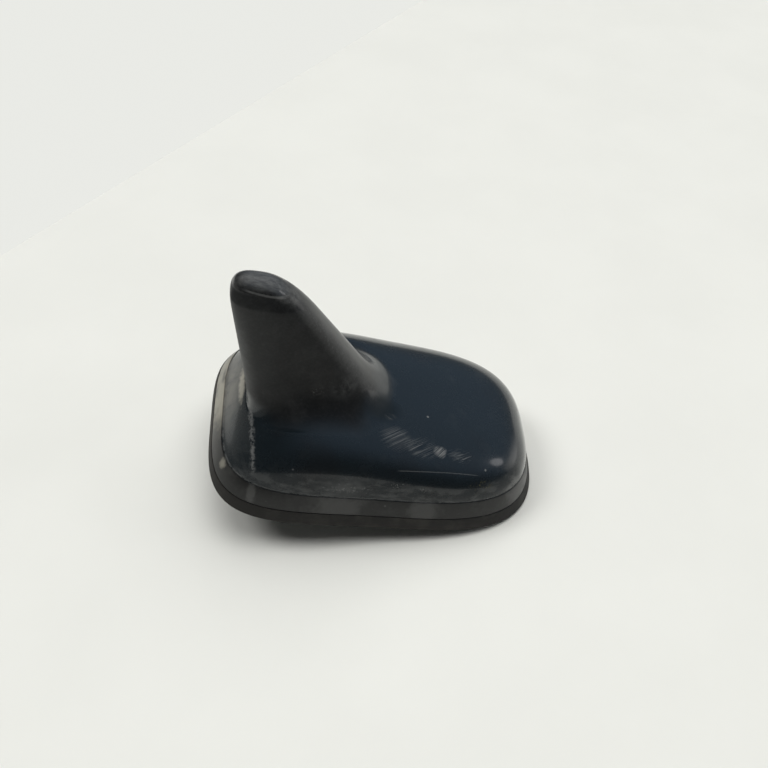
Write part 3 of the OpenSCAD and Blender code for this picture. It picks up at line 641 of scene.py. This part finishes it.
def cover_paint():
    """Gloss paint gone hazy on the fin, scratched on top and scuffed along the walls, with painted
    highlights and reflections on the tail, the fin's back edge and the seam, and a painted blue tint on
    the dome.
    """
    p = Paint("black_paint_blue_sheen")
    fine, coarse, cloud = p.noise(0.8, 4, 0.75), p.noise(6, 6, 0.65), p.noise(16, 3)
    grit = fine.over(0.52, 0.66)

    # The fin, its front ridge and its back edge
    fin = p.z.over(26, 33).math("MAXIMUM", p.z.over(21, 25) * p.x.under(-14, -6))
    fin = fin * (p.y.size() + (p.z - 26) * 0.12).under(13, 20)
    ahead = (p.x + p.z * FIN_FRONT_LEAN - 19.1).over(-4.5, -0.5) * p.z.over(25, 30)
    behind = p.x + 53.0 - (64 - p.z) * FIN_BACK_LEAN
    # Pale strips along the fin's back edge, which lighten the haze: painted highlight
    back_edge_sheen = behind.under(1.5, 16) * p.z.over(24, 30)
    heel_highlight = behind.under(0.3, 3.5) * p.z.over(20, 26) * p.z.under(48, 62)
    heel_highlight = heel_highlight * (0.4 + coarse.over(0.35, 0.6) * 0.6)

    # Haze and dull patches, with a painted highlight along the fin's back edge
    haze_and_sheen = fin * (0.15 + coarse.over(0.42, 0.68) * 0.7 + back_edge_sheen * 1.1) * 0.06 + heel_highlight * 0.14
    haze_and_sheen = haze_and_sheen + coarse.over(0.54, 0.8) * 0.03 + fin * fine.over(0.45, 0.7) * 0.035
    streaks = p.noise(1.0, 4, 0.7, p.mm, (0.3, 1, 1.3)).over(0.3, 0.65)
    tip = p.spots(FIN_TIP_WEAR) * (0.35 + streaks * 0.65) * 0.5
    ridge = ahead * (0.2 + coarse.over(0.35, 0.65) * 0.6 + fine.over(0.48, 0.68) * 0.8) * 0.08
    foot = p.blob((-4.5, 2, 27), (8, 8.5, 6), 0.7, 3) * coarse.over(0.2, 0.6) * 0.16
    stain = p.blob((-17.4, -8.8, 33.0), (6, 5, 4.5), 0.9, 3) * coarse.over(0.36, 0.6) * 0.1
    dull = tip + ridge + foot + stain

    # Fine pale lines: round the tip and along the near side, then a ragged one beside the tail that is
    # a painted reflection edge and one at the seam that is a painted highlight
    lip = (p.z - 64.1 + (p.x + 49.6) * 0.11).size().under(0.1, 0.4) * p.y.under(-3, -1)
    lip = lip * p.x.over(-51, -48) * p.x.under(-40, -37) * coarse.over(0.3, 0.5) * 0.4
    line = (p.y + 26.1 - (p.x - 2.3) * 0.078).size().under(0.05, 0.16)
    line = line * p.x.over(1, 3) * p.x.under(26, 29) * 0.3
    # A ragged pale line at the tail's near corner: painted reflection edge
    corner = p.x + p.y * 0.12 + 44.2 + (p.noise(2.2, 4, 0.7) - 0.5) * 2.4
    worn_and_sheen = corner.size().under(0.1, 0.9) * p.y.under(-10, -8) * p.z.over(11, 14) * p.z.under(21, 24)
    worn_and_sheen = worn_and_sheen * p.noise(1.0, 3, 0.7).over(0.38, 0.56) * 0.55
    # A pale line along the cover's lower edge at the seam: painted highlight
    seam_highlight = p.z.under(9.35, 9.7) * p.noise(2.5, 3).over(0.3, 0.55) * 0.4

    # Scratches and scuffs
    marks = sum(p.strokes(*stroke) * strength for *stroke, strength in SCRATCHES)
    stained = p.blob((-17.1, -8.1, 34.6), (6, 4, 3.5), 1.0, 2) * coarse.over(0.4, 0.6) * 0.15
    scuffs = p.spots(GRITTY_SCUFFS) * grit + p.spots(SCUFF_AND_CHIPS) + stained

    # Colour, from the paint to its wear and painted highlights, the tail's painted reflection and a
    # smudge
    # The dome's base colour is bluer than the fin's, though both are one paint: the dome's blue is a
    # painted tint of the blue ceiling it mirrors
    colour = p.mix((fin * 0.9 + cloud.over(0.5, 0.68) * 0.35).clamp(),
                   (0.0070, 0.0112, 0.0145, 1), (0.0075, 0.0078, 0.0085, 1))
    wear_and_sheen = haze_and_sheen + dull + lip + marks * 0.46 + p.spots(BLOOM) + line + scuffs + worn_and_sheen + seam_highlight
    colour = p.mix(wear_and_sheen.clamp(), colour, (0.20, 0.205, 0.205, 1))
    # A pale beige patch over the tail and a pale streak at the fin's rear foot: painted reflection and
    # painted highlight
    tail = p.blob((-51, 7, 12), (8.5, 21, 12), 0.9, 6) * (0.3 + coarse.over(0.3, 0.65)) * 0.26
    rear_foot_highlight = p.blob((-45.8, 3, 16.2), (1.2, 9, 4), 1.0, 1.5) * 0.5
    colour = p.mix((tail * 0.8 + rear_foot_highlight).clamp(), colour, (0.45, 0.43, 0.37, 1))
    smudge = p.blob((29.8, -26.3, 14.0), (5.5, 3, 2.4), 1.5, 1.4) * grit
    colour = p.mix(smudge * 0.5, colour, (0.18, 0.16, 0.07, 1))

    # Gloss, which the fin, a band under its tip and the hazy walls have lost
    below_tip = p.z.under(62.8, 63.6)
    satin = fin * below_tip * (1 - ahead * 0.7)
    satin = satin.math("MAXIMUM", p.blob((-4, -8.5, 26.5), (9, 6, 6)))
    matt = p.z.over(58.6, 59.6) * below_tip * p.y.under(-3, -2) * (1 - ahead)
    rough = 0.26 + satin * 0.22 + matt * 0.4 + dull * 1.2 + marks * 0.2 + scuffs * 0.4 + tail * 0.5
    rough = rough + coarse.over(0.45, 0.8) * 0.06
    patches = p.noise(5, 5, 0.7, p.mm, (0.6, 1, 1.5)).over(0.38, 0.56)
    wall = p.z.under(15, 18) * p.y.under(-20, -16) * patches
    coat = 0.6 + p.x.over(40, 50) * 0.4 - satin * 0.6 - wall * 0.5

    normal = p.bump(p.noise(1.4, 2) * 0.5 + p.noise(0.35, 1) * 0.12, 0.02, 0.3)
    normal = p.bump(marks + worn_and_sheen, 0.02, 0.4, normal)
    return p.set(colour=colour, rough=rough.clamp(), normal=normal, ior=1.5, specular=0.22,
                 coat=coat.clamp(), coat_rough=0.1)


def frame_plastic():
    """Satin plastic with paler patches along its side, a painted reflection at its nose corner and a
    pale tail that is a painted reflection.
    """
    p = Paint("satin_black_plastic")
    cloud = p.noise(7, 4, 0.6)
    # Paler patches along the side, and at the nose corner a painted reflection
    worn_and_sheen = p.spots(FRAME_PATCHES)
    speck = p.blob((0.1, -31.5, 7.2), (0.5, 1, 0.5), 0.5, 0.4)
    specks = p.noise(0.7, 3, 0.7).over(0.64, 0.7) * 0.5 + speck
    colour = p.mix((worn_and_sheen * 0.28 + specks * 0.3 + cloud.over(0.45, 0.7) * 0.1).clamp(),
                   (0.011, 0.0112, 0.0112, 1), (0.16, 0.162, 0.16, 1))
    # A pale beige patch over the tail's faces is a painted reflection; beside it a pale streak by the
    # near corner
    tail = p.x.under(-52, -46) * (p.y + (cloud - 0.5) * 30).over(-14, 8) * cloud.over(0.2, 0.6)
    streak = p.blob((-49.4, -20.6, 7.0), (1.6, 2.2, 2.5), 0.9, 1.2) * 0.35
    colour = p.mix((tail * 0.6 + streak).clamp(), colour, (0.48, 0.46, 0.385, 1))
    rough = 0.34 + cloud.over(0.4, 0.7) * 0.14 - worn_and_sheen * 0.06
    return p.set(colour=colour, rough=rough, normal=p.bump(p.noise(0.3, 2), 0.012, 0.5), ior=1.5,
                 specular=0.35)


def gasket_rubber():
    """Dull dark rubber with a little dust in its grain."""
    p = Paint("dark_rubber")
    cloud = p.noise(6, 4, 0.6)
    specks = p.noise(0.55, 2, 0.6).over(0.68, 0.74)
    colour = p.mix((cloud.over(0.42, 0.7) * 0.6 + specks * 0.5).clamp(),
                   (0.020, 0.019, 0.0175, 1), (0.05, 0.047, 0.042, 1))
    normal = p.bump(p.noise(0.5, 4, 0.65), 0.03, 0.5)
    return p.set(colour=colour, rough=0.62 + cloud * 0.15, normal=normal, ior=1.42)


def cast_metal():
    """Die-cast metal, grainy and a little clouded."""
    p = Paint("die_cast_metal")
    grain, cloud = p.noise(0.35, 3, 0.6), p.noise(5, 4)
    colour = p.mix(cloud.over(0.35, 0.7), (0.36, 0.365, 0.37, 1), (0.56, 0.565, 0.57, 1))
    return p.set(colour=colour, rough=0.42 + (grain - 0.5) * 0.3, metal=1.0,
                 normal=p.bump(grain, 0.03, 0.6))


def plain_finish(name, colour, rough, metal=0.0, grain=0.8, spread=0.25, depth=0.02):
    """A moulded or plated finish with a fine grain and clouds of tone."""
    p = Paint(name)
    tone = p.noise(grain * 5, 3) * 0.6 + p.noise(grain, 4, 0.6) * 0.4
    dark = tuple(c * (1 - spread) for c in colour) + (1,)
    light = tuple(min(1, c * (1 + spread)) for c in colour) + (1,)
    shade = p.mix(tone.over(0.35, 0.65), dark, light)
    return p.set(colour=shade, rough=rough + (tone - 0.5) * 0.3, metal=metal, ior=1.5,
                 normal=p.bump(p.noise(grain, 3), depth, 0.6))


def board_resist(name, axis):
    """Green solder resist over copper tracks that run in steps, on a board square to the axis."""
    p = Paint(name)
    across = p.y if axis == "Z" else p.z
    flat = p.node("ShaderNodeCombineXYZ", {"X": p.x, "Y": across, "Z": 0.0})["Vector"]
    values = {"Vector": flat, "Scale": 0.22, "Mortar Size": 0.035, "Mortar Smooth": 0.1}
    steps = p.node("ShaderNodeTexBrick", values)["Fac"]
    dots = p.node("ShaderNodeTexVoronoi", {"Vector": flat, "Scale": 0.3}, feature="F1")["Distance"]
    track = (steps + dots.under(0.08, 0.12)).clamp()
    colour = p.mix(track * 0.8, (0.008, 0.07, 0.03, 1), (0.03, 0.17, 0.07, 1))
    return p.set(colour=colour, rough=0.3 + p.noise(2) * 0.1, normal=p.bump(track, 0.03, 0.6), ior=1.5)


def dress(piece, material):
    piece.data.materials.clear()
    piece.data.materials.append(material)


def dress_nodes():
    """A procedural material on every CAD node that has no shell of its own."""
    plastic = plain_finish("black_moulding", (0.014, 0.014, 0.015), 0.42)
    gold = plain_finish("gold_plate", (0.78, 0.57, 0.24), 0.25, 1.0, 0.5, 0.12, 0.01)
    zinc = plain_finish("zinc_plate", (0.55, 0.55, 0.53), 0.35, 1.0, 0.6, 0.15, 0.015)
    tin = plain_finish("tin_plate", (0.66, 0.67, 0.68), 0.3, 1.0, 1.0, 0.1, 0.01)
    finishes = {
        "seal_cord": plain_finish("seal_rubber", (0.02, 0.02, 0.02), 0.7, 0.0, 0.5),
        "ground_contact": plain_finish("nickel_plate", (0.6, 0.58, 0.53), 0.3, 1.0, 0.6, 0.12, 0.01),
        "vent_disc": plain_finish("porous_film", (0.7, 0.7, 0.68), 0.8, 0.0, 0.3),
        "socket_block": plastic,
        "socket_shells": gold,
        "socket_pins": gold,
        "main_board": board_resist("main_board_resist", "Z"),
        "board_screws": zinc,
        "frame_screws": zinc,
        "patch_pad": plain_finish("white_pad", (0.75, 0.75, 0.72), 0.8, 0.0, 0.4),
        "gps_patch": plain_finish("beige_ceramic", (0.5, 0.39, 0.26), 0.6, 0.0, 0.4, 0.12),
        "patch_electrode": plain_finish("fired_silver", (0.72, 0.71, 0.69), 0.4, 1.0, 0.3, 0.1),
        "feed_pin": gold,
        "screen_fence": tin,
        "screen_lid": tin,
        "amplifier_parts": plain_finish("chip_moulding", (0.012, 0.012, 0.013), 0.5, 0.0, 0.3),
        "board_parts": plain_finish("small_ceramic", (0.3, 0.2, 0.11), 0.55, 0.0, 0.2),
        "fin_board": board_resist("fin_board_resist", "Y"),
        "phone_element": plain_finish("bare_copper", (0.75, 0.36, 0.2), 0.35, 1.0, 0.8, 0.15),
        "fin_board_holder": plastic,
        "contact_springs": gold,
        "tip_foam": plain_finish("dark_foam", (0.03, 0.03, 0.031), 0.9, 0.0, 0.35, 0.4, 0.1),
    }
    for name, material in finishes.items():
        dress(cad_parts[name], material)


def place_camera():
    el, az, roll = (math.radians(a) for a in (VIEW_EL, VIEW_AZ, VIEW_ROLL))
    back = Vector((math.sin(az) * math.cos(el), -math.cos(az) * math.cos(el), math.sin(el)))
    level = Vector((0, 0, 1)).cross(back).normalized()
    steep = back.cross(level)
    right = level * math.cos(roll) + steep * math.sin(roll)
    up = steep * math.cos(roll) - level * math.sin(roll)
    eye = back * VIEW_AWAY - right * VIEW_RIGHT - up * VIEW_UP
    data = bpy.data.cameras.new("camera")
    data.sensor_width = SENSOR
    data.lens = SENSOR * FOCAL_PX / FRAME_PX
    data.clip_start = 0.01
    data.clip_end = 50
    camera = put("camera", data)
    turn = Matrix((right, up, back)).transposed()
    camera.matrix_world = Matrix.Translation(eye * MM) @ turn.to_4x4()
    bpy.context.scene.camera = camera


def lowest_along(direction):
    """How far down the shown pieces reach against a direction, in metres."""
    lowest = 0.0
    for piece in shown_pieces():
        co = np.empty(len(piece.data.vertices) * 3)
        piece.data.vertices.foreach_get("co", co)
        lowest = min(lowest, float((co.reshape(-1, 3) @ np.array(direction)).min()))
    return lowest


def turn_to(made, toward):
    """Turns an object's own upright to a direction."""
    made.rotation_mode = "QUATERNION"
    made.rotation_quaternion = Vector(toward).to_track_quat("Z", "Y")


def lay_floor():
    """The table under the tilted part, on whose lowest points the part rests."""
    near, far = -TABLE_EDGE, TABLE_DEPTH - TABLE_EDGE
    corners = [(-TABLE_HALF, near, 0), (TABLE_HALF, near, 0),
               (TABLE_HALF, far, 0), (-TABLE_HALF, far, 0)]
    mesh = bpy.data.meshes.new("table_top")
    mesh.from_pydata(corners, [], [(0, 1, 2, 3)])
    lowest = lowest_along(TABLE_UP)
    floor = put("table_top", mesh)
    turn_to(floor, TABLE_UP)
    floor.location = TABLE_UP * lowest
    p = Paint("pale_table")
    colour = p.mix(p.noise(60, 4).over(0.3, 0.7), (0.77, 0.785, 0.76, 1), (0.79, 0.805, 0.78, 1))
    normal = p.bump(p.noise(1.5, 3), 0.05, 0.2)
    dress(floor, p.set(colour=colour, rough=0.75, specular=0.2, normal=normal))


def hang_lights():
    """Soft light from above and from the tail's side, which gloss doesn't mirror."""
    for name, (strength, spread, toward) in LIGHTS.items():
        data = bpy.data.lights.new(name, "SUN")
        data.energy = strength
        data.angle = math.radians(spread)
        data.color = LIGHT_COLOUR
        lamp = put(name, data)
        turn_to(lamp, toward)
        lamp.visible_glossy = False


def paint_room():
    """A pale backdrop; gloss sees it low down, and a dim room with a window above it."""
    world = bpy.data.worlds.new("room")
    bpy.context.scene.world = world
    world.use_nodes = True
    room = Nodes(world.node_tree)
    direction = room.node("ShaderNodeTexCoord", {})["Generated"]
    parts = room.node("ShaderNodeSeparateXYZ", {"Vector": direction})
    east, north = parts["X"], parts["Y"]
    height = room.vector("DOT_PRODUCT", direction, tuple(TABLE_UP))["Value"]
    band = (height - east.over(0.3, 0.7) * 0.08).under(-0.01, 0.03) * north.over(-0.75, -0.5)
    wall = (height - east.under(-1.0, -0.66) * 0.46).under(-0.01, 0.02) * east.under(-0.7, -0.62)
    window = east.over(0.8, 0.95) * north.over(-0.2, 0.0) * height.under(0.28, 0.42)
    lamp = room.vector("DOT_PRODUCT", direction, LAMP_TOWARD)["Value"].over(0.993, 0.996)
    ceiling = east.over(-0.7, 0.35) * height.over(-0.1, 0.6) * north.over(-0.9, -0.2)
    ray = room.node("ShaderNodeLightPath", {})
    seen = room.mix(ceiling * ray["Is Glossy Ray"], DIM_ROOM, CEILING)
    seen = room.mix((wall * (1 - band)).clamp(), seen, TAIL_WALL)
    seen = room.mix(window, seen, WINDOW)
    seen = room.mix(lamp, seen, LAMP)
    pale = (ray["Is Camera Ray"] + ray["Is Transmission Ray"] + band).clamp()
    background = room.tree.nodes["Background"]
    room.tree.links.new(room.mix(pale, seen, BACKDROP).socket, background.inputs["Color"])
    background.inputs["Strength"].default_value = 1.0


dress(build_cover(), cover_paint())
dress(build_frame(), frame_plastic())
dress(build_gasket(), gasket_rubber())
dress(build_base(), cast_metal())
dress_nodes()
place_camera()
lay_floor()
hang_lights()
paint_room()

bpy.context.scene.view_settings.view_transform = "Standard"
